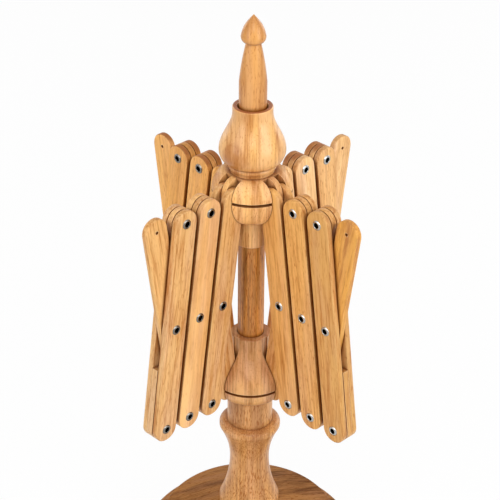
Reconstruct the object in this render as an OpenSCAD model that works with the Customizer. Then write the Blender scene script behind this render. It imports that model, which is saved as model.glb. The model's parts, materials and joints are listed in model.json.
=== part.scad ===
// Table-top umbrella swift: a folding yarn holder whose slatted scissor arms hinge on
// a slotted hub and a sliding runner, and turn together on a fixed post.
// Millimetres, +Z up, origin at the middle of the base's underside, arms folded.

/* [Slats] */
// Distance between the two end pivots of a slat
pivot_span = 200; // [170:1:240]
// Width of a slat
slat_w = 24; // [20:0.5:26]
// Thickness of a slat
slat_t = 6; // [4.5:0.25:6.5]
// Chamfer that eases the edges of a slat
slat_ease = 0.9; // [0.3:0.1:1.5]
// Gap between the layers of an arm
layer_gap = 0.25; // [0.15:0.05:0.5]
// Gap between neighbouring slats when folded
fold_gap = 3.6; // [2:0.1:8]
// Hole drilled in the head of a paddle
paddle_hole_d = 3; // [2:0.1:5]
// Height of the spacer block above the outer lower pivot
spacer_h = 60; // [50:1:76]
// Gap between the spacer block and the folded paddle
spacer_gap = 0.5; // [0.3:0.1:2]

/* [Rivets] */
// Shank of a rivet
rivet_d = 6; // [5.6:0.1:7]
// Open bore of a rivet
rivet_bore_d = 5; // [3.5:0.1:5.4]
// Head of a rivet
rivet_head_d = 9; // [8:0.1:11]
// Height of a rivet's head
rivet_head_t = 1; // [0.6:0.05:1.2]
// Radial clearance of a slat on a rivet
rivet_clear = 0.1; // [0.03:0.01:0.1]

/* [Hinge wires] */
// Wire of the two hinge rings
wire_d = 2; // [1.4:0.1:2.4]
// Radial clearance of a slat on its hinge wire
wire_clear = 0.3; // [0.2:0.05:0.5]
// Gap between a hinge wire and the floor of its groove
wire_seat = 0.15; // [0.1:0.05:0.3]
// Room on each side of the wire in its groove
groove_clear = 0.35; // [0.1:0.05:0.6]

/* [Top hub] */
// Radius of the hinge pivots round the post
pivot_r = 30.2; // [29.5:0.1:36]
// Wood of the hub outside its pivots
hub_rim = 5.4; // [4:0.1:8]
// Height of the dome above the pivots
hub_dome_h = 18; // [16:0.5:24]
// Flat on top of the dome
hub_flat_d = 46; // [42:0.5:50]
// Depth of the bowl below the pivots
hub_bowl_h = 27; // [22:1:34]
// Length of the neck below the bowl
hub_neck_h = 26; // [18:1:36]
// Wall of the neck round the post
hub_neck_wall = 2.5; // [1.5:0.1:3.5]
// Room on each side of a slat in its slot
slot_clear = 0.5; // [0.2:0.05:0.8]
// Radius of the round cutter that runs out at the top of a hub slot
slot_cutter_r = 35; // [30:1:60]
// Room between a slat's swinging tip and the core of its hub
swing_clear = 1.2; // [0.6:0.1:1.8]

/* [Cap] */
// Height of the cap above the hub
cap_h = 61; // [52:1:80]
// Height of the narrow foot of the cap
cap_foot_h = 2.5; // [1:0.5:4]
// Bead above the foot
cap_bead_d = 42.6; // [40:0.2:48]
// Height of the bead
cap_bead_h = 5; // [3:0.5:8]
// Width of the foot and of the groove above the bead
cap_groove_d = 39; // [36:0.2:39.8]
// Belly of the cap
cap_belly_d = 58.4; // [50:0.2:68]
// Height of the belly
cap_belly_h = 20.5; // [14:0.5:28]
// Height at which the sides straighten
cap_waist_h = 55; // [48:0.5:60]
// Wall of the cap round its mouth
cap_wall = 4.4; // [4.2:0.1:8]
// Rounding of the rim, inside and outside
cap_lip = 1.6; // [0.5:0.1:2]
// Depth of the mouth round the finial
cap_mouth_depth = 17; // [10:0.5:26]
// Gap between the finial and the mouth
cap_mouth_gap = 1.1; // [0.4:0.1:1.6]
// Length of the spigot that seats the cap in the hub
cap_spigot_h = 5; // [3:0.5:8]
// Width of that spigot
cap_spigot_d = 24; // [20:0.5:27]

/* [Finial] */
// Width of the finial's straight part
finial_d = 24.2; // [20:0.2:28]
// Length of the straight part above the cap
finial_straight_h = 22; // [16:1:40]
// Length of the taper
finial_taper_h = 35; // [20:0.5:60]
// Swell of the taper's sides
finial_swell = 0.6; // [0:0.1:1.2]
// Width under the spear tip
finial_neck_d = 12.8; // [9:0.2:16]
// Widest part of the spear tip
spear_d = 21.5; // [18:0.5:28]
// Height from the neck to the widest part of the spear tip
spear_low_h = 5.5; // [4:0.5:12]
// Height from there to the point
spear_top_h = 19.3; // [12:0.1:30]
// Swell of the spear tip's sides
spear_swell = 2.2; // [0:0.1:3]
// Depth of the socket that holds the end of the journal
finial_socket_h = 28; // [20:1:32]

/* [Post] */
// Width of the post
post_d = 24; // [21:0.5:25]
// Width of the journal that carries the hub
journal_d = 16; // [12:0.5:17]
// Length of the post inside the pedestal
post_socket_h = 80; // [40:1:100]
// Length of the post's shoulder inside the neck of the hub
post_lap_h = 14; // [6:1:17]

/* [Runner] */
// Height of the runner above its pivots
runner_top_h = 49; // [44:1:60]
// Width of the runner's neck
runner_neck_d = 36.8; // [33:0.2:42]
// Length of the straight neck
runner_neck_h = 8; // [3:0.5:12]
// Wood of the runner outside its pivots
runner_rim = 6.4; // [5:0.1:9]
// Height of the straight rim above the pivots
runner_band_h = 4; // [2:0.5:8]
// Depth of the runner below its pivots
runner_foot_h = 16.7; // [15:0.1:24]
// Width of the runner's flat underside
runner_foot_d = 48; // [44:0.5:60]
// Rounding of the neck's upper edge
runner_lip = 1.2; // [0.3:0.1:2]

/* [Pedestal] */
// Width of the collar under the runner
collar_d = 42.6; // [36:0.2:50]
// Height of the collar
collar_h = 32; // [20:1:50]
// Width of the ring
ring_d = 57.8; // [52:0.2:70]
// Height of the ring's rounded shoulder
ring_shoulder_h = 4.5; // [2:0.5:8]
// Height of the ring's straight edge
ring_edge_h = 2.5; // [1:0.5:6]
// Width of the waist
waist_d = 37.6; // [34:0.2:46]
// Height from the waist to the ring
waist_top_h = 38; // [25:1:60]
// Height from the flared foot to the waist
waist_low_h = 46; // [30:1:70]
// Width of the flared foot
foot_d = 58; // [50:0.5:70]
// Height of the foot's rounded edge
foot_edge_h = 18.7; // [10:0.1:26]
// Width of the foot where it meets the base
foot_seat_d = 53; // [46:0.5:60]
// Width of the tenon in the base
tenon_d = 30; // [24:0.5:36]
// Length of the tenon
tenon_h = 26; // [15:1:30]

/* [Base] */
// Width of the base
base_d = 210; // [180:1:240]
// Height of the base at its middle
base_h = 47; // [42:0.5:60]
// Height of the lower flange
flange_h = 15; // [10:0.5:18]
// Rounding of the flange's upper edge
flange_round = 6; // [2:0.5:8]
// Width of the upper disc
disc_d = 172; // [140:1:180]
// Height of the upper disc's edge
disc_h = 34.5; // [30:0.5:38]
// Thickness of the upper disc's edge
disc_edge_h = 7; // [4:0.5:10]
// Rounding of the upper disc's edge
disc_round = 1.5; // [0.5:0.5:4]
// Overhang of the upper disc above the cove
disc_lip = 2; // [0.5:0.5:4]

/* [Fits] */
// Radial running clearance of the hub on its journal
run_clear = 0.08; // [0.03:0.01:0.1]
// Radial clearance of what slides on or turns round the post
slide_clear = 0.5; // [0.2:0.05:0.7]
// Gap at faces that rest or bear on each other
rest_gap = 0.25; // [0.15:0.05:0.4]
// Glue line between fixed pieces
glue_gap = 0.05; // [0.02:0.01:0.1]

/* [Hidden] */
$fn = 96;
// Straight steps in each curve of a turned outline
STEPS = 10;
// Straight steps in each curve of a rivet's head
RIVET_STEPS = 4;
// How far cutters stand past what they cut
CUT = 1;
BEECH = [0.86, 0.62, 0.36];
BEECH_DARK = [0.74, 0.50, 0.28];
NICKEL = [0.80, 0.80, 0.78];
STEEL = [0.32, 0.31, 0.30];

// Arms and their folded linkage
ARMS = 4;
FIRST_ARM_AZIMUTH = -45;
LEVELS = ["inner", "middle", "outer"];
LINKS = len(LEVELS);
fold_angle = asin(2 * (slat_w + fold_gap) / pivot_span) / 2;
reach = pivot_span * sin(fold_angle);
lift = pivot_span * cos(fold_angle);
layer = slat_t + layer_gap;
tip_r = slat_w / 2;
rivet_hole_r = rivet_d / 2 + rivet_clear;
grip = layer * 2 + slat_t;

// Heights, from the floor up
pedestal_h = foot_edge_h + waist_low_h + waist_top_h + ring_edge_h + ring_shoulder_h + collar_h;
pedestal_top = base_h + pedestal_h;
lower_z = pedestal_top + rest_gap + runner_foot_h;
upper_z = lower_z + lift;
hub_top = upper_z + hub_dome_h;
hub_bottom = upper_z - hub_bowl_h - hub_neck_h;
post_shoulder = hub_bottom + post_lap_h;
cap_seat_h = cap_h - cap_mouth_depth;
finial_bottom = hub_top + glue_gap + cap_seat_h + rest_gap;
journal_top = finial_bottom + finial_socket_h - glue_gap;

// Radii that follow from the fits
core_r = pivot_r - tip_r - swing_clear;
post_hole_r = post_d / 2 + slide_clear;
hub_bore_r = journal_d / 2 + run_clear;
hub_neck_r = post_hole_r + hub_neck_wall;
hub_rim_r = pivot_r + hub_rim;
runner_rim_r = pivot_r + runner_rim;
cap_mouth_r = finial_d / 2 + cap_mouth_gap;
slot_w = slat_t + 2 * slot_clear;
hub_wire_r = norm([pivot_r, layer]);
runner_wire_r = pivot_r;
hub_wire_sway = pivot_r - sqrt(pow(hub_wire_r, 2) - pow(layer + slat_t / 2, 2));
runner_wire_sway = pivot_r - sqrt(pow(runner_wire_r, 2) - pow(slat_t / 2, 2));
hub_hole_r = wire_d / 2 + hub_wire_sway + wire_clear;
runner_hole_r = wire_d / 2 + runner_wire_sway + wire_clear;

// Pivots of a folded arm as [radius, height], counted outward from the hub
function top_pivot(i) = [pivot_r + i * reach, upper_z];
function low_pivot(i) = [pivot_r + i * reach, lower_z];
function mid_pivot(i) = [pivot_r + (i - 0.5) * reach, (upper_z + lower_z) / 2];

// Curves of turned outlines, each from a up to but not including b
function arc_out(a, b, n = STEPS) = [for (k = [0 : n - 1]) let (t = 90 * k / n)
    [a.x + (b.x - a.x) * sin(t), a.y + (b.y - a.y) * (1 - cos(t))]];
function arc_in(a, b, n = STEPS) = [for (k = [0 : n - 1]) let (t = 90 * k / n)
    [a.x + (b.x - a.x) * (1 - cos(t)), a.y + (b.y - a.y) * sin(t)]];
function ogee(a, b) = [for (k = [0 : STEPS - 1]) let (t = k / STEPS)
    [a.x + (b.x - a.x) * (1 - cos(180 * t)) / 2, a.y + (b.y - a.y) * t]];
function cove(a, b) = [for (k = [0 : STEPS - 1]) let (t = 1 - k / STEPS)
    [b.x + (a.x - b.x) * t * t, b.y + (a.y - b.y) * t]];
function flare(a, b) = [for (k = [0 : STEPS - 1]) let (t = k / STEPS)
    [a.x + (b.x - a.x) * t * t, a.y + (b.y - a.y) * t]];
function bowed(a, b, bow) = [for (k = [0 : STEPS - 1]) let (t = k / STEPS)
    [a.x + (b.x - a.x) * t + bow * sin(180 * t), a.y + (b.y - a.y) * t]];
function mirrored(points) = [for (i = [len(points) - 1 : -1 : 0]) [points[i].x, -points[i].y]];

function slat_node(arm, i, side) =
    str("arm", arm, "_", LEVELS[i - 1], "_slat_", side > 0 ? "left" : "right");
function cross_node(arm, i) =
    str("arm", arm, "_", i < LINKS ? str(LEVELS[i - 1], "_cross_slat") : "paddle");
function rivet_node(arm, i) =
    str("arm", arm, "_", LEVELS[i - 1], "_rivets");

// Turns what is drawn in the plane of an arm, with x outward and y to its left, to the arm's place
module on_arm(arm) {
    rotate([0, 0, FIRST_ARM_AZIMUTH + 360 / ARMS * (arm - 1)])
        children();
}

// Lays a bar that is drawn along x between two pivots, in one layer of an arm
module between(p, q, offset) {
    translate([(p.x + q.x) / 2, offset, (p.y + q.y) / 2])
        rotate([0, -atan2(q.y - p.y, q.x - p.x), 0])
            children();
}

// Round pin across an arm at a pivot
module across(p) {
    translate([p.x, 0, p.y])
        rotate([90, 0, 0])
            children();
}

// Round slat end with eased edges
module slat_end(x) {
    e = slat_ease;
    h = slat_t / 2;
    r = tip_r;
    translate([x, 0, 0])
        rotate([90, 0, 0])
            rotate_extrude()
                polygon([[0, -h], [r - e, -h], [r, e - h], [r, h - e], [r - e, h], [0, h]]);
}

// Straight bar with eased edges between the two end pivots
module slat_bar() {
    e = slat_ease;
    h = slat_t / 2;
    r = tip_r;
    rotate([90, 0, 90])
        linear_extrude(pivot_span, center = true)
            polygon([[-h, e - r], [e - h, -r], [h - e, -r], [h, e - r],
                     [h, r - e], [h - e, r], [e - h, r], [-h, r - e]]);
}

// Hole through a slat at distance x from its middle
module drill(x, r) {
    translate([x, 0, 0])
        rotate([90, 0, 0])
            cylinder(h = slat_t + 2 * CUT, r = r, center = true);
}

// Straight slat with a hole at the middle of each round end and a rivet hole half-way
module slat(first_hole_r, last_hole_r) {
    half = pivot_span / 2;
    difference() {
        union() {
            slat_bar();
            slat_end(-half);
            slat_end(half);
        }
        drill(-half, first_hole_r);
        drill(0, rivet_hole_r);
        drill(half, last_hole_r);
    }
}

module base() {
    r = base_d / 2;
    flange_top = [r - flange_round, flange_h];
    disc_r = disc_d / 2;
    disc_low = disc_h - disc_edge_h;
    socket_r = tenon_d / 2 + glue_gap;
    socket_floor = base_h - tenon_h - glue_gap;
    color(BEECH_DARK)
        rotate_extrude()
            polygon(concat(
                [[0, 0]],
                [[r, 0]],
                arc_in([r, flange_h - flange_round], flange_top),
                cove(flange_top, [disc_r - disc_lip, disc_low]),
                [[disc_r - disc_lip, disc_low]],
                [[disc_r, disc_low]],
                arc_in([disc_r, disc_h - disc_round], [disc_r - disc_round, disc_h]),
                [[disc_r - disc_round, disc_h]],
                [[foot_seat_d / 2, base_h]],
                [[socket_r, base_h]],
                [[socket_r, socket_floor]],
                [[0, socket_floor]]
            ));
}

module pedestal() {
    waist_z = foot_edge_h + waist_low_h;
    ring_z = waist_z + waist_top_h;
    collar_z = ring_z + ring_edge_h + ring_shoulder_h;
    socket_r = post_d / 2 + glue_gap;
    socket_floor = pedestal_h - post_socket_h - glue_gap;
    color(BEECH)
        translate([0, 0, base_h + glue_gap])
            rotate_extrude()
                polygon(concat(
                    [[0, -tenon_h]],
                    [[tenon_d / 2, -tenon_h]],
                    [[tenon_d / 2, 0]],
                    arc_out([foot_seat_d / 2, 0], [foot_d / 2, foot_edge_h]),
                    cove([foot_d / 2, foot_edge_h], [waist_d / 2, waist_z]),
                    flare([waist_d / 2, waist_z], [ring_d / 2, ring_z]),
                    [[ring_d / 2, ring_z]],
                    arc_in([ring_d / 2, ring_z + ring_edge_h], [collar_d / 2, collar_z]),
                    [[collar_d / 2, collar_z]],
                    [[collar_d / 2, pedestal_h - glue_gap]],
                    [[socket_r, pedestal_h - glue_gap]],
                    [[socket_r, socket_floor]],
                    [[0, socket_floor]]
                ));
}

module post() {
    bottom = pedestal_top - post_socket_h;
    color(BEECH) {
        translate([0, 0, bottom])
            cylinder(h = post_shoulder - bottom, d = post_d);
        translate([0, 0, bottom])
            cylinder(h = journal_top - bottom, d = journal_d);
    }
}

module finial() {
    r = finial_d / 2;
    taper_z = cap_mouth_depth - rest_gap + finial_straight_h;
    neck = [finial_neck_d / 2, taper_z + finial_taper_h];
    widest = [spear_d / 2, neck.y + spear_low_h];
    point = [0, widest.y + spear_top_h];
    socket_r = journal_d / 2 + glue_gap;
    color(BEECH)
        translate([0, 0, finial_bottom])
            rotate_extrude()
                polygon(concat(
                    [[socket_r, 0], [r, 0]],
                    bowed([r, taper_z], neck, finial_swell),
                    arc_out(neck, widest),
                    bowed(widest, point, spear_swell),
                    [point, [0, finial_socket_h], [socket_r, finial_socket_h]]
                ));
}

module hub_cap() {
    foot_top = [cap_groove_d / 2, cap_foot_h];
    bead_mid = [cap_bead_d / 2, cap_foot_h + cap_bead_h / 2];
    bead_top = [cap_groove_d / 2, cap_foot_h + cap_bead_h];
    belly = [cap_belly_d / 2, cap_belly_h];
    rim_r = cap_mouth_r + cap_wall;
    bore_r = journal_d / 2 + slide_clear;
    spigot_r = cap_spigot_d / 2 - glue_gap;
    color(BEECH)
        translate([0, 0, hub_top + glue_gap])
            rotate_extrude()
                polygon(concat(
                    [[bore_r, -cap_spigot_h], [spigot_r, -cap_spigot_h], [spigot_r, 0], [foot_top.x, 0]],
                    arc_out(foot_top, bead_mid),
                    arc_in(bead_mid, bead_top),
                    arc_out(bead_top, belly),
                    ogee(belly, [rim_r, cap_waist_h]),
                    [[rim_r, cap_waist_h]],
                    arc_in([rim_r, cap_h - cap_lip], [rim_r - cap_lip, cap_h]),
                    [[rim_r - cap_lip, cap_h]],
                    arc_out([cap_mouth_r + cap_lip, cap_h], [cap_mouth_r, cap_h - cap_lip]),
                    [[cap_mouth_r, cap_h - cap_lip], [cap_mouth_r, cap_seat_h], [bore_r, cap_seat_h]]
                ));
}

// Groove for a hinge wire round a turned piece
module wire_groove(ring_r, rim_r) {
    floor_r = ring_r - wire_d / 2 - wire_seat;
    width = wire_d + 2 * groove_clear;
    rotate_extrude()
        translate([floor_r, -width / 2])
            square([rim_r - floor_r + CUT, width]);
}

// Slot for one slat of a pair in the hub, open outward, with the cutter's round run-out at its top
module hub_slot(arm, offset) {
    low = -hub_bowl_h - CUT;
    high = hub_dome_h + CUT;
    out = hub_rim_r + CUT;
    run_out = [for (k = [0 : STEPS]) let (z = high * (1 - k / STEPS))
        [core_r + slot_cutter_r - sqrt(pow(slot_cutter_r, 2) - pow(z, 2)), z]];
    on_arm(arm)
        translate([0, offset, 0])
            rotate([90, 0, 0])
                linear_extrude(slot_w, center = true)
                    polygon(concat(run_out, [[core_r, low], [out, low], [out, high]]));
}

// Straight slot for one slat right through the runner, open outward
module runner_slot(arm) {
    on_arm(arm)
        translate([core_r, -slot_w / 2, -runner_foot_h - CUT])
            cube([runner_rim_r - core_r + CUT, slot_w, runner_foot_h + runner_top_h + 2 * CUT]);
}

module top_hub() {
    neck_low = -hub_bowl_h - hub_neck_h;
    bearing_z = neck_low + post_lap_h + rest_gap;
    flat_r = hub_flat_d / 2;
    socket_r = cap_spigot_d / 2;
    socket_floor = hub_dome_h - cap_spigot_h - glue_gap;
    color(BEECH)
        translate([0, 0, upper_z])
            difference() {
                rotate_extrude()
                    polygon(concat(
                        [[post_hole_r, neck_low], [hub_neck_r, neck_low]],
                        arc_out([hub_neck_r, -hub_bowl_h], [hub_rim_r, 0]),
                        arc_in([hub_rim_r, 0], [flat_r, hub_dome_h]),
                        [[flat_r, hub_dome_h], [socket_r, hub_dome_h], [socket_r, socket_floor]],
                        [[hub_bore_r, socket_floor], [hub_bore_r, bearing_z], [post_hole_r, bearing_z]]
                    ));
                wire_groove(hub_wire_r, hub_rim_r);
                for (arm = [1 : ARMS])
                    for (side = [1, -1])
                        hub_slot(arm, side * layer);
            }
}

module hub_wire() {
    color(STEEL)
        translate([0, 0, upper_z])
            rotate_extrude()
                translate([hub_wire_r, 0])
                    circle(d = wire_d);
}

module runner() {
    foot_r = runner_foot_d / 2;
    neck_r = runner_neck_d / 2;
    neck_low = runner_top_h - runner_neck_h;
    color(BEECH)
        translate([0, 0, lower_z])
            difference() {
                rotate_extrude()
                    polygon(concat(
                        [[post_hole_r, -runner_foot_h]],
                        arc_out([foot_r, -runner_foot_h], [runner_rim_r, 0]),
                        [[runner_rim_r, 0]],
                        ogee([runner_rim_r, runner_band_h], [neck_r, neck_low]),
                        [[neck_r, neck_low]],
                        arc_in([neck_r, runner_top_h - runner_lip], [neck_r - runner_lip, runner_top_h]),
                        [[neck_r - runner_lip, runner_top_h], [post_hole_r, runner_top_h]]
                    ));
                wire_groove(runner_wire_r, runner_rim_r);
                for (arm = [1 : ARMS])
                    runner_slot(arm);
            }
}

module runner_wire() {
    color(STEEL)
        translate([0, 0, lower_z])
            rotate_extrude()
                translate([runner_wire_r, 0])
                    circle(d = wire_d);
}

// Block between the two outer side slats, cut back along the edge of the folded paddle
module spacer() {
    far = pivot_span + slat_w;
    tip_x = pivot_span / 2;
    top_x = tip_x - spacer_h;
    difference() {
        rotate([90, 0, 0])
            linear_extrude(slat_t + 2 * (layer_gap - glue_gap), center = true)
                difference() {
                    union() {
                        translate([top_x, -tip_r])
                            square([spacer_h, slat_w]);
                        translate([tip_x, 0])
                            circle(tip_r);
                    }
                    rotate(-2 * fold_angle)
                        translate([-far, -far])
                            square([2 * far, far + tip_r + spacer_gap]);
                }
        drill(tip_x, rivet_hole_r);
    }
}

module side_slat(arm, i, side) {
    color(BEECH)
        on_arm(arm) {
            between(top_pivot(i - 1), low_pivot(i), side * layer)
                slat(i == 1 ? hub_hole_r : rivet_hole_r, rivet_hole_r);
            if (i == LINKS && side < 0)
                between(top_pivot(i - 1), low_pivot(i), 0)
                    spacer();
        }
}

module cross_slat(arm, i) {
    color(BEECH)
        on_arm(arm)
            between(low_pivot(i - 1), top_pivot(i), 0)
                slat(i == 1 ? runner_hole_r : rivet_hole_r, rivet_hole_r);
}

module paddle(arm) {
    color(BEECH)
        on_arm(arm)
            between(low_pivot(LINKS - 1), top_pivot(LINKS), 0)
                slat(rivet_hole_r, paddle_hole_d / 2);
}

// Hollow rivet with rolled heads, through all three layers of an arm
module rivet() {
    half = grip / 2;
    bore_r = rivet_bore_d / 2;
    shank_r = rivet_d / 2;
    crown = [(bore_r + shank_r) / 2, half + rivet_head_t];
    head = concat(
        [[shank_r, half]],
        arc_in([rivet_head_d / 2, half], crown, RIVET_STEPS),
        arc_out(crown, [bore_r, half], RIVET_STEPS),
        [[bore_r, half]]
    );
    rotate_extrude()
        polygon(concat(head, mirrored(head)));
}

module rivets(arm, i) {
    color(NICKEL)
        on_arm(arm)
            for (p = concat(i > 1 ? [top_pivot(i - 1)] : [], [mid_pivot(i), low_pivot(i)]))
                across(p)
                    rivet();
}

base();
pedestal();
post();
finial();
hub_cap();
top_hub();
hub_wire();
runner();
runner_wire();
for (arm = [1 : ARMS]) {
    for (i = [1 : LINKS]) {
        side_slat(arm, i, 1);
        side_slat(arm, i, -1);
        rivets(arm, i);
    }
    for (i = [1 : LINKS - 1]) {
        cross_slat(arm, i);
    }
    paddle(arm);
}
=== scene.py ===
"""Studio picture of a wooden umbrella swift with its arms folded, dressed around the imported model."""
import json
import math

import bpy
from mathutils import Matrix, Quaternion, Vector

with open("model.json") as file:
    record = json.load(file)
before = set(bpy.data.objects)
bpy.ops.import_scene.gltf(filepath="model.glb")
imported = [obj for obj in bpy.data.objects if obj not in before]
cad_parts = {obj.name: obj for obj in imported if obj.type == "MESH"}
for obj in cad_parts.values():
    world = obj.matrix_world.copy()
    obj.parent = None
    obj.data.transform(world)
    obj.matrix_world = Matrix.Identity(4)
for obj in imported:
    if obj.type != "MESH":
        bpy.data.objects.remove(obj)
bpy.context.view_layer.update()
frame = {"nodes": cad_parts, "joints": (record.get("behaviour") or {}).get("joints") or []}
nodes = frame["nodes"]
joints = {joint["child"]: joint for joint in frame["joints"]}

# Camera, as the photograph was taken: metres in the part's frame, degrees, then millimetres
CAMERA_PLACE = (-0.0013, -1.1992, 1.0386)
CAMERA_TILT = 59.789
CAMERA_ROLL = 0.539
LENS_MM = 111.81
SENSOR_MM = 36.0

# Studio: each soft box has its place and width in metres and its power in watts
LIT_POINT = (0.0, 0.0, 0.32)
SOFT_BOXES = (
    ("right_box", (1.45, -1.05, 0.95), 1.3, 16.0),
    ("left_box", (-1.45, -1.05, 0.95), 1.3, 11.1),
    ("front_box", (0.0, -1.55, 1.70), 1.2, 15.4),
    ("top_box", (0.0, -0.3, 2.2), 1.2, 8.5),
    ("back_right_box", (1.25, 1.35, 0.85), 1.2, 9.0),
    ("back_left_box", (-1.25, 1.35, 0.85), 1.2, 7.0))
WHITE = (1.0, 1.0, 1.0, 1.0)
FLOOR_HALF_WIDTH = 6.0
FLOOR_GREY = (0.92, 0.92, 0.92, 1.0)
FLOOR_ROUGHNESS = 0.9
FLOOR_GLOW = 0.95
SKY_FILL = 0.20

# Wood tones, linear colours: slats, cap and hub lie on the line from amber to pale or a little past it
AMBER = (0.87, 0.450, 0.120)
PALE = (0.92, 0.560, 0.235)
LATE_WOOD = (0.52, 0.205, 0.046)
POST_WOOD = (0.82, 0.335, 0.058)
POST_LATE_WOOD = (0.28, 0.105, 0.022)
FINIAL_WOOD = (0.74, 0.36, 0.105)
RUNNER_WOOD = (0.80, 0.440, 0.176)
FOOT_WOOD = (0.76, 0.39, 0.13)
FOOT_LATE_WOOD = (0.36, 0.138, 0.034)
BASE_WOOD = (0.47, 0.210, 0.066)
BASE_LATE_WOOD = (0.16, 0.056, 0.014)

# Colours laid over the tone of the wood, and the tint of its gleam: pale edges of wear with a painted
# highlight, and painted shade in crevices
BLUSH_TINT = (0.97, 0.99, 1.22, 1.0)
FLECK_TINT = (0.68, 0.47, 0.29, 1.0)
END_GRAIN = (0.33, 0.105, 0.030, 1.0)
WORN_AND_LIT_EDGE = (0.96, 0.66, 0.36, 1.0)
CREVICE_SHADE = (0.20, 0.050, 0.004, 1.0)
WARM_GLEAM = (1.0, 0.86, 0.68, 1.0)

# Noise in the wood: cycles per millimetre along, across and through the board, detail, roughness
WANDER = ((0.006, 0.03, 0.03), 2.0, 0.5)
STREAK = ((0.028, 0.52, 0.52), 4.0, 0.65)
BAND = ((0.007, 0.055, 0.055), 2.0, 0.5)
BLUSH = ((0.010, 0.09, 0.09), 1.0, 0.5)
FLECK = ((0.16, 0.98, 0.98), 2.0, 0.5)
NOISE_MEAN = 0.5
WANDER_MM = (0.0, 5.0, 5.0)
ACROSS_GRAIN = (0.0, 1.0, 1.0)

# Where each mark on the wood starts and where it is full
LATE_RISE = (0.25, 0.90)
LATE_FALL = (1.0, 0.90)
BLUSH_STEP = (0.40, 0.70)
FLECK_STEP = (0.55, 0.72)
END_FULL = 0.85
# Pale worn edges with a painted highlight, and painted shade in crevices
EDGE_WEAR_AND_HIGHLIGHT_STEP = (0.995, 0.93)
CREVICE_SHADE_STEP = (0.84, 0.42)

# Mean share of late wood, and how far wear with its painted highlight and the painted crevice shade reach,
# in metres
MEAN_SHADE = 0.22
EDGE_REACH = 0.0012
EDGE_SAMPLES = 6
CREVICE_SHADE_REACH = 0.006

# Surface of the wood; the bump's depth is in metres
WOOD_ROUGHNESS = 0.34
ROUGHNESS_SPREAD = 0.16
END_ROUGHNESS = 0.2
COAT_ROUGHNESS = 0.20
FLECK_DEPTH = 0.7
BUMP_STRENGTH = 0.18
BUMP_DEPTH = 0.0002

# Metals: linear colour, roughness and clouds of wear per metre
# One nickel plating, in a lit copy for the arms on the right and a shaded copy for those on the left:
# painted reflection
PAINTED_LIT_NICKEL = ((0.52, 0.51, 0.48), 0.20, 900.0)
PAINTED_SHADED_NICKEL = ((0.25, 0.23, 0.20), 0.20, 900.0)
# The wire is darker than drawn steel, partly as painted shade in its grooves
GROOVE_SHADED_WIRE = ((0.12, 0.11, 0.10), 0.38, 1200.0)
WORN_METAL = 0.78
CLOUD_DETAIL = 3.0
METAL_SPREAD = 0.2
# Painted shade in bores and grooves: colour, reach in metres, and where it starts and is full
BORE_SHADE = (0.006, 0.005, 0.004, 1.0)
BORE_SHADE_REACH = 0.010
BORE_SHADE_STEP = (0.10, 0.42)

# Corners closer than this many metres are welded; edges under this many degrees are shaded smooth
WELD_REACH = 0.00001
SOFT_EDGE = 50.0

# Directions of the grain, and the boards that the pieces are cut from: a seed moves a piece in its board
ORIGIN = (0.0, 0.0, 0.0)
UP = (0.0, 0.0, 1.0)
RIGHT = (1.0, 0.0, 0.0)
PLANK_WAY = (1.0, 0.35, 0.0)
PLANK_SIDE = (-0.35, 1.0, 0.0)
MM = 0.001
BOARD_SIZE = (1.9, 0.9, 0.7)
SEED_MOVES = (0.731, 0.317, 0.519)
BASE_SEED = 2.3
TURNED_SEED = 3.7
ARM_SEEDS = 17
LEVEL_SEEDS = 5

# Figure of the sawn slats, of the base's plank and of the turned pieces; pith and rings in millimetres
SAWN = {"Pith": (0.0, 40.0, 90.0), "Ring Width": 4.5, "Rings": 0.16, "Layers": (1.0, 1.0, 1.0),
        "Bands": 1.6, "End Start": 0.2, "Gloss": 0.22, "Crevice Shade": 0.95, "Wear And Highlight": 0.6}
PLANK = {"Pith": (0.0, 20.0, 160.0), "Ring Width": 9.0, "Rings": 0.15, "Layers": (1.5, 1.3, 0.3),
         "Streaks": 3.0, "Bands": 3.0, "Flecks": 1.0, "End Start": 0.2, "End Grain": 0.3,
         "Gloss": 0.03, "Crevice Shade": 0.8, "Wear And Highlight": 0.15}
TURNED = {"Pith": (0.0, 150.0, 10.0), "Ring Width": 15.0, "Rings": 0.30, "Layers": (1.0, 1.0, 0.08),
          "Streaks": 1.4, "Bands": 2.2, "Flecks": 0.6, "End Start": 0.2,
          "Gloss": 0.20, "Crevice Shade": 0.8, "Wear And Highlight": 0.3}

# The inner, middle and outer slats and the paddle of each arm: share of pale, depth of tone, streaks; the
# high pale share of the second and fourth arms paints the right soft box's sheen on them
ARMS = range(1, 5)
LEVELS = ("inner", "middle", "outer")
ARM_TONES_AND_SHEEN = (
    ((0.30, 0.93, 3.0), (0.32, 0.93, 3.6), (0.30, 0.81, 4.4), (-0.27, 0.93, 4.6)),
    ((1.30, 1.06, 1.8), (1.30, 1.06, 1.8), (0.90, 1.03, 1.8), (1.30, 1.03, 1.8)),
    ((0.00, 1.06, 1.8), (0.00, 1.06, 1.8), (-0.15, 1.02, 1.8), (0.15, 1.04, 1.8)),
    ((0.78, 0.85, 3.8), (0.85, 1.02, 1.2), (0.88, 0.89, 3.6), (0.65, 0.93, 3.8)))
PADDLE = 3
TONE_SPREAD = 0.08
TONE_TURN = 2.4
SLAT_FLECKS = 0.6
FLECKS_SPREAD = 0.25
FLECKS_TURN = 1.7

# End grain of the left, right and cross slats of each arm, far darker on the back arms' tips, partly as
# painted shade; a paddle has that of the right slats
ARM_END_GRAIN_AND_TIP_SHADE = ((0.12, 0.12, 0.12), (0.80, 0.30, 0.90), (0.85, 0.90, 0.50), (0.12, 0.12, 0.12))
RIGHT_SLAT = 1

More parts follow.
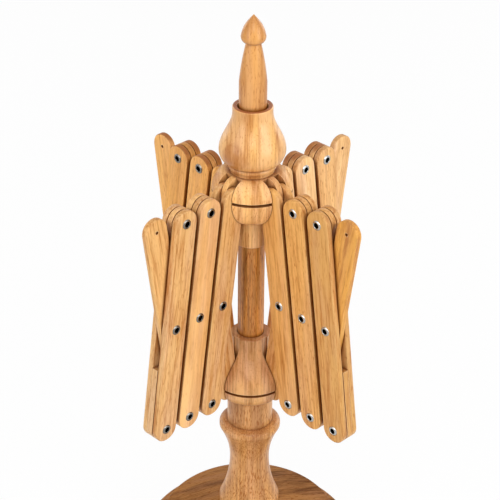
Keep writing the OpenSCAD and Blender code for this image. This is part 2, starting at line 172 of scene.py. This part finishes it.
# Sockets of the wood's node group
WOOD_INPUTS = {
    "NodeSocketVector": ("Grain", "Pith", "Layers"),
    "NodeSocketFloat": ("Ring Width", "Rings", "Streaks", "Bands", "Flecks", "Fleck Share",
                        "End", "End Start", "End Grain", "Crevice Shade", "Wear And Highlight"),
    "NodeSocketColor": ("Light", "Dark")}
WOOD_OUTPUTS = {"NodeSocketColor": ("Color",), "NodeSocketFloat": ("Roughness", "Height")}


def add(tree, kind, inputs=None, **settings):
    """New node in a tree; each input is a value or another node's output socket."""
    made = tree.nodes.new(kind)
    for name, value in settings.items():
        setattr(made, name, value)
    for key, value in (inputs or {}).items():
        if isinstance(value, bpy.types.NodeSocket):
            tree.links.new(value, made.inputs[key])
        else:
            made.inputs[key].default_value = value
    return made


def maths(tree, operation, a, b=0.0, clamp=False):
    return add(tree, "ShaderNodeMath", {0: a, 1: b}, operation=operation, use_clamp=clamp).outputs[0]


def vector_maths(tree, operation, a, b):
    return add(tree, "ShaderNodeVectorMath", {0: a, 1: b}, operation=operation).outputs["Vector"]


def dot_product(tree, a, b):
    return add(tree, "ShaderNodeVectorMath", {0: a, 1: b}, operation="DOT_PRODUCT").outputs["Value"]


def blend_colour(tree, factor, a, b, way="MIX"):
    """Colour between a and b; the mix node has its colour sockets at 6 and 7 and its result at 2."""
    made = add(tree, "ShaderNodeMix", {0: factor, 6: a, 7: b}, data_type="RGBA", blend_type=way)
    return made.outputs[2]


def smooth_step(tree, value, low, high):
    made = add(tree, "ShaderNodeMapRange", {"Value": value, "From Min": low, "From Max": high},
               interpolation_type="SMOOTHSTEP")
    return made.outputs["Result"]


def stretched_noise(tree, vector, stretch, detail, roughness):
    """Noise on the grain coordinates, with its own number of cycles per millimetre on each axis."""
    sized = vector_maths(tree, "MULTIPLY", vector, stretch)
    return add(tree, "ShaderNodeTexNoise",
               {"Vector": sized, "Scale": 1.0, "Detail": detail, "Roughness": roughness})


def centred(tree, noise, strength):
    """Noise about zero, times a strength."""
    return maths(tree, "MULTIPLY", maths(tree, "SUBTRACT", noise, NOISE_MEAN), strength)


def draw_rings(tree, given):
    """Late wood at the end of each year's ring; the rings wander a little round a far pith."""
    wander = stretched_noise(tree, given["Grain"], *WANDER).outputs["Color"]
    wander = vector_maths(tree, "SUBTRACT", wander, (NOISE_MEAN, NOISE_MEAN, NOISE_MEAN))
    wander = vector_maths(tree, "MULTIPLY", wander, WANDER_MM)
    from_pith = vector_maths(tree, "ADD", given["Grain"], given["Pith"])
    from_pith = vector_maths(tree, "ADD", from_pith, wander)
    from_pith = vector_maths(tree, "MULTIPLY", from_pith, ACROSS_GRAIN)
    radius = add(tree, "ShaderNodeVectorMath", {0: from_pith}, operation="LENGTH").outputs["Value"]
    year = maths(tree, "FRACT", maths(tree, "DIVIDE", radius, given["Ring Width"]))
    return maths(tree, "MULTIPLY", smooth_step(tree, year, *LATE_RISE), smooth_step(tree, year, *LATE_FALL))


def find_worn_and_lit_edges(tree, given):
    """Share of wear and painted highlight along the edges, where the normal turns within a short reach."""
    rounded = add(tree, "ShaderNodeBevel", {"Radius": EDGE_REACH}, samples=EDGE_SAMPLES).outputs["Normal"]
    normal = add(tree, "ShaderNodeNewGeometry").outputs["Normal"]
    turned = dot_product(tree, rounded, normal)
    return maths(tree, "MULTIPLY", smooth_step(tree, turned, *EDGE_WEAR_AND_HIGHLIGHT_STEP), given["Wear And Highlight"])


def find_shaded_crevices(tree, given):
    """Share of dirt and painted shade in narrow gaps and slots."""
    open_sky = add(tree, "ShaderNodeAmbientOcclusion", {"Distance": CREVICE_SHADE_REACH}).outputs["AO"]
    return maths(tree, "MULTIPLY", smooth_step(tree, open_sky, *CREVICE_SHADE_STEP), given["Crevice Shade"])


def make_wood_group():
    """Beech: growth rings, streaks, bands, short dark flecks, darker end grain, pale worn edges that also
    paint a highlight, and painted shade in crevices.
    """
    tree = bpy.data.node_groups.new("beech_grain", "ShaderNodeTree")
    for way, sockets in (("INPUT", WOOD_INPUTS), ("OUTPUT", WOOD_OUTPUTS)):
        for kind, names in sockets.items():
            for name in names:
                tree.interface.new_socket(name=name, in_out=way, socket_type=kind)
    given = tree.nodes.new("NodeGroupInput").outputs
    result = tree.nodes.new("NodeGroupOutput").inputs

    late = draw_rings(tree, given)
    layered = vector_maths(tree, "MULTIPLY", given["Grain"], given["Layers"])
    streak = stretched_noise(tree, layered, *STREAK).outputs["Fac"]
    band = stretched_noise(tree, layered, *BAND).outputs["Fac"]
    blush = stretched_noise(tree, layered, *BLUSH).outputs["Fac"]
    dashes = stretched_noise(tree, given["Grain"], *FLECK).outputs["Fac"]
    fleck = smooth_step(tree, maths(tree, "ADD", dashes, given["Fleck Share"]), *FLECK_STEP)

    shade = centred(tree, streak, given["Streaks"])
    shade = maths(tree, "ADD", shade, centred(tree, band, given["Bands"]))
    shade = maths(tree, "ADD", shade, maths(tree, "MULTIPLY", late, given["Rings"]))
    shade = maths(tree, "ADD", shade, MEAN_SHADE, clamp=True)
    flecked = maths(tree, "MULTIPLY", fleck, given["Flecks"])
    end = smooth_step(tree, given["End"], given["End Start"], END_FULL)
    end = maths(tree, "MULTIPLY", end, given["End Grain"])
    colour = blend_colour(tree, shade, given["Light"], given["Dark"])
    colour = blend_colour(tree, smooth_step(tree, blush, *BLUSH_STEP), colour, BLUSH_TINT, "MULTIPLY")
    colour = blend_colour(tree, flecked, colour, FLECK_TINT, "MULTIPLY")
    colour = blend_colour(tree, end, colour, END_GRAIN)
    # Pale edges: wear, and a painted highlight along the arrises
    colour = blend_colour(tree, find_worn_and_lit_edges(tree, given), colour, WORN_AND_LIT_EDGE)
    # Painted shade in gaps and slots, where ambient occlusion finds them
    colour = blend_colour(tree, find_shaded_crevices(tree, given), colour, CREVICE_SHADE)
    tree.links.new(colour, result["Color"])

    rough = maths(tree, "MULTIPLY", streak, ROUGHNESS_SPREAD)
    rough = maths(tree, "ADD", rough, WOOD_ROUGHNESS - ROUGHNESS_SPREAD / 2)
    rough = maths(tree, "ADD", rough, maths(tree, "MULTIPLY", end, END_ROUGHNESS))
    tree.links.new(rough, result["Roughness"])
    height = maths(tree, "SUBTRACT", streak, maths(tree, "MULTIPLY", fleck, FLECK_DEPTH))
    tree.links.new(height, result["Height"])
    return tree


def make_soften_group():
    """Shades the faces of a solid smooth, apart from its sharp edges, in place of the imported normals."""
    tree = bpy.data.node_groups.new("soften", "GeometryNodeTree")
    tree.interface.new_socket(name="Geometry", in_out="INPUT", socket_type="NodeSocketGeometry")
    tree.interface.new_socket(name="Geometry", in_out="OUTPUT", socket_type="NodeSocketGeometry")
    given = tree.nodes.new("NodeGroupInput").outputs[0]
    plain = add(tree, "GeometryNodeRemoveAttribute", {"Geometry": given, "Name": "custom_normal"})
    angle = add(tree, "GeometryNodeInputMeshEdgeAngle").outputs["Unsigned Angle"]
    smooth = add(tree, "FunctionNodeCompare", {"A": angle, "B": math.radians(SOFT_EDGE)},
                 data_type="FLOAT", operation="LESS_THAN").outputs["Result"]
    faces = add(tree, "GeometryNodeSetShadeSmooth",
                {"Geometry": plain.outputs[0], "Shade Smooth": True}, domain="FACE")
    edges = add(tree, "GeometryNodeSetShadeSmooth",
                {"Geometry": faces.outputs[0], "Shade Smooth": smooth}, domain="EDGE")
    tree.links.new(edges.outputs[0], tree.nodes.new("NodeGroupOutput").inputs[0])
    return tree


wood_group = make_wood_group()
soften_group = make_soften_group()


def new_material(name):
    made = bpy.data.materials.new(name)
    made.use_nodes = True
    tree = made.node_tree
    return made, tree, tree.nodes["Principled BSDF"]


def tone(share, depth=1.0):
    """Beech on the line from amber, at 0, to pale, at 1; a depth below 1 darkens it."""
    return Vector(AMBER).lerp(Vector(PALE), share) * depth


def wood(name, place, along, across, seed, figure, light, dark=LATE_WOOD, coat=0.0):
    """Beech with its grain along one direction of the part's frame; seed picks its place in the board."""
    made, tree, surface = new_material(name)
    along = Vector(along).normalized()
    across = Vector(across).normalized()
    board = Matrix((along, across, along.cross(across))).transposed()
    shift = Vector([seed * move % size for move, size in zip(SEED_MOVES, BOARD_SIZE)])
    coordinates = add(tree, "ShaderNodeTexCoord").outputs
    grain = add(tree, "ShaderNodeMapping",
                {"Vector": coordinates["Object"], "Location": Vector(place) - board @ shift,
                 "Rotation": board.to_euler(), "Scale": (MM, MM, MM)}, vector_type="TEXTURE")
    facing = dot_product(tree, coordinates["Normal"], along)
    drawn = add(tree, "ShaderNodeGroup", node_tree=wood_group)
    tree.links.new(grain.outputs[0], drawn.inputs["Grain"])
    tree.links.new(maths(tree, "ABSOLUTE", facing), drawn.inputs["End"])
    figure = dict(figure)
    gloss = figure.pop("Gloss")
    for key, value in figure.items():
        drawn.inputs[key].default_value = value
    drawn.inputs["Light"].default_value = (*light, 1.0)
    drawn.inputs["Dark"].default_value = (*dark, 1.0)
    bump = add(tree, "ShaderNodeBump",
               {"Strength": BUMP_STRENGTH, "Distance": BUMP_DEPTH, "Height": drawn.outputs["Height"]})
    tree.links.new(drawn.outputs["Color"], surface.inputs["Base Color"])
    tree.links.new(drawn.outputs["Roughness"], surface.inputs["Roughness"])
    tree.links.new(bump.outputs["Normal"], surface.inputs["Normal"])
    surface.inputs["Specular IOR Level"].default_value = gloss
    surface.inputs["Specular Tint"].default_value = WARM_GLEAM
    surface.inputs["Coat Weight"].default_value = coat
    surface.inputs["Coat Roughness"].default_value = COAT_ROUGHNESS
    return made


def metal(name, colour, roughness, clouds):
    """Plated or drawn metal with fine cloudy wear, and painted shade where it is sunk in a bore or a
    groove.
    """
    made, tree, surface = new_material(name)
    place = add(tree, "ShaderNodeTexCoord").outputs["Object"]
    cloud = add(tree, "ShaderNodeTexNoise",
                {"Vector": place, "Scale": clouds, "Detail": CLOUD_DETAIL}).outputs["Fac"]
    worn = [channel * WORN_METAL for channel in colour]
    plate = blend_colour(tree, cloud, (*worn, 1.0), (*colour, 1.0))
    # Painted shade where the metal sits in a bore or groove
    open_sky = add(tree, "ShaderNodeAmbientOcclusion", {"Distance": BORE_SHADE_REACH}).outputs["AO"]
    shown = blend_colour(tree, smooth_step(tree, open_sky, *BORE_SHADE_STEP), BORE_SHADE, plate)
    rough = maths(tree, "MULTIPLY", cloud, METAL_SPREAD)
    rough = maths(tree, "ADD", rough, roughness - METAL_SPREAD / 2)
    tree.links.new(shown, surface.inputs["Base Color"])
    tree.links.new(rough, surface.inputs["Roughness"])
    surface.inputs["Metallic"].default_value = 1.0
    return made


def dress(node, material):
    """Gives a CAD node its finish, with its facets welded and its eased edges shaded round."""
    piece = nodes[node]
    piece.data.materials.clear()
    piece.data.materials.append(material)
    weld = piece.modifiers.new("weld", "WELD")
    weld.merge_threshold = WELD_REACH
    soften = piece.modifiers.new("soften", "NODES")
    soften.node_group = soften_group
    flatten = piece.modifiers.new("flatten", "WEIGHTED_NORMAL")
    flatten.keep_sharp = True


def dress_stand_and_hub():
    """The turned pieces with the grain along the post, the base with its plank's grain, and the wires."""
    turned_woods = (
        ("pedestal", FOOT_WOOD, FOOT_LATE_WOOD, 0.25,
         {"End Grain": 0.1, "Streaks": 1.8, "Flecks": 1.0, "Fleck Share": 0.06}),
        ("post", POST_WOOD, POST_LATE_WOOD, 0.30,
         {"End Grain": 0.0, "Streaks": 2.4, "Flecks": 0.9, "Fleck Share": 0.03}),
        ("finial", FINIAL_WOOD, LATE_WOOD, 0.30,
         {"End Grain": 0.5, "Streaks": 2.6, "Bands": 3.4, "Flecks": 0.8}),
        ("hub_cap", tone(0.4), LATE_WOOD, 0.40,
         {"End Grain": 1.0, "End Start": 0.7, "Streaks": 2.4, "Bands": 3.6, "Crevice Shade": 0.25}),
        ("top_hub", tone(0.7, 1.08), LATE_WOOD, 0.10,
         {"End Grain": 0.1, "Gloss": 0.12, "Streaks": 2.2, "Flecks": 0.8}),
        ("runner", RUNNER_WOOD, FOOT_LATE_WOOD, 0.20,
         {"End Grain": 0.35, "Streaks": 2.8}))
    for k, (node, light, dark, coat, changes) in enumerate(turned_woods):
        figure = dict(TURNED, **changes)
        dress(node, wood(f"wood_{node}", ORIGIN, UP, RIGHT, TURNED_SEED + k, figure, light, dark, coat))
    plank = wood("wood_base", ORIGIN, PLANK_WAY, PLANK_SIDE, BASE_SEED, PLANK, BASE_WOOD, BASE_LATE_WOOD)
    dress("base", plank)
    wire = metal("wire_with_groove_shade", *GROOVE_SHADED_WIRE)
    for node in ("hub_wire", "runner_wire"):
        dress(node, wire)


def dress_arm(arm, rivet_copy):
    """Slats with the grain along their length, and the arm's rivets."""
    hub_pin = joints[f"arm{arm}_inner_pair"]
    first_rivet = joints[f"arm{arm}_inner_cross"]
    across = Vector(first_rivet["axis"])
    down = (Vector(first_rivet["pos_m"]) - Vector(hub_pin["pos_m"])).normalized()
    up = Vector((down.x, down.y, -down.z))
    for i, level in enumerate(LEVELS):
        cross = f"arm{arm}_paddle" if level == LEVELS[-1] else f"arm{arm}_{level}_cross_slat"
        slats = ((f"arm{arm}_{level}_slat_left", hub_pin, down),
                 (f"arm{arm}_{level}_slat_right", hub_pin, down),
                 (cross, first_rivet, up))
        for j, (node, pin, along) in enumerate(slats):
            is_paddle = node.endswith("paddle")
            seed = arm * ARM_SEEDS + i * LEVEL_SEEDS + j
            # The arm's pale share also carries its painted sheen
            share, depth, streaks = ARM_TONES_AND_SHEEN[arm - 1][PADDLE if is_paddle else i]
            light = tone(share + TONE_SPREAD * math.sin(seed * TONE_TURN), depth)
            # The back arms' darker tips are partly painted shade
            changes = {"End Grain": ARM_END_GRAIN_AND_TIP_SHADE[arm - 1][RIGHT_SLAT if is_paddle else j],
                       "Streaks": streaks,
                       "Flecks": SLAT_FLECKS + FLECKS_SPREAD * math.sin(seed * FLECKS_TURN)}
            figure = dict(SAWN, **changes)
            dress(node, wood(f"wood_{node}", pin["pos_m"], along, across, seed, figure, light))
        dress(f"arm{arm}_{level}_rivets", rivet_copy)


def dress_arms():
    """The arms on the right get a lit copy of the nickel and those on the left a shaded one: painted
    reflections of a bright and a dark side of the studio.
    """
    lit_rivets = metal("lit_copy_of_nickel", *PAINTED_LIT_NICKEL)
    shaded_rivets = metal("shaded_copy_of_nickel", *PAINTED_SHADED_NICKEL)
    for arm, rivet_copy in zip(ARMS, (lit_rivets, lit_rivets, shaded_rivets, shaded_rivets)):
        dress_arm(arm, rivet_copy)


def seen_share(tree):
    """1 for what is seen, also in a reflection or through glass, and 0 for light that falls on the part."""
    path = add(tree, "ShaderNodeLightPath").outputs
    seen = maths(tree, "ADD", path["Is Camera Ray"], path["Is Glossy Ray"], clamp=True)
    return maths(tree, "ADD", seen, path["Is Transmission Ray"], clamp=True)


def make_floor():
    """Pale floor that is nearly white to the camera and keeps a soft shadow."""
    far = FLOOR_HALF_WIDTH
    corners = [(-far, -far, 0), (far, -far, 0), (far, far, 0), (-far, far, 0)]
    mesh = bpy.data.meshes.new("floor")
    mesh.from_pydata(corners, [], [(0, 1, 2, 3)])
    floor = bpy.data.objects.new("floor", mesh)
    bpy.context.scene.collection.objects.link(floor)
    material, tree, surface = new_material("floor_paper")
    surface.inputs["Base Color"].default_value = FLOOR_GREY
    surface.inputs["Roughness"].default_value = FLOOR_ROUGHNESS
    glow = add(tree, "ShaderNodeEmission", {"Color": WHITE, "Strength": 1.0})
    share = maths(tree, "MULTIPLY", seen_share(tree), FLOOR_GLOW)
    mixed = add(tree, "ShaderNodeMixShader", {0: share, 1: surface.outputs[0], 2: glow.outputs[0]})
    tree.links.new(mixed.outputs[0], tree.nodes["Material Output"].inputs["Surface"])
    mesh.materials.append(material)


def make_world():
    """White where it is seen, and a weak even fill of light."""
    world = bpy.data.worlds.new("studio")
    bpy.context.scene.world = world
    world.use_nodes = True
    tree = world.node_tree
    sky = tree.nodes["Background"]
    sky.inputs["Color"].default_value = WHITE
    strength = maths(tree, "MULTIPLY", seen_share(tree), 1.0 - SKY_FILL)
    tree.links.new(maths(tree, "ADD", strength, SKY_FILL), sky.inputs["Strength"])


def make_soft_box(name, place, width, power):
    """Round area light that points at the folded arms."""
    data = bpy.data.lights.new(name, "AREA")
    data.shape = "DISK"
    data.size = width
    data.energy = power
    lamp = bpy.data.objects.new(name, data)
    lamp.location = place
    lamp.rotation_euler = (Vector(LIT_POINT) - Vector(place)).to_track_quat("-Z", "Y").to_euler()
    bpy.context.scene.collection.objects.link(lamp)


def make_camera():
    data = bpy.data.cameras.new("camera")
    data.lens = LENS_MM
    data.sensor_width = SENSOR_MM
    camera = bpy.data.objects.new("camera", data)
    camera.location = CAMERA_PLACE
    camera.rotation_mode = "QUATERNION"
    tilt = Quaternion(RIGHT, math.radians(CAMERA_TILT))
    camera.rotation_quaternion = tilt @ Quaternion(UP, math.radians(CAMERA_ROLL))
    bpy.context.scene.collection.objects.link(camera)
    bpy.context.scene.camera = camera


dress_stand_and_hub()
dress_arms()
make_floor()
make_world()
for soft_box in SOFT_BOXES:
    make_soft_box(*soft_box)
make_camera()
bpy.context.scene.view_settings.view_transform = "Standard"
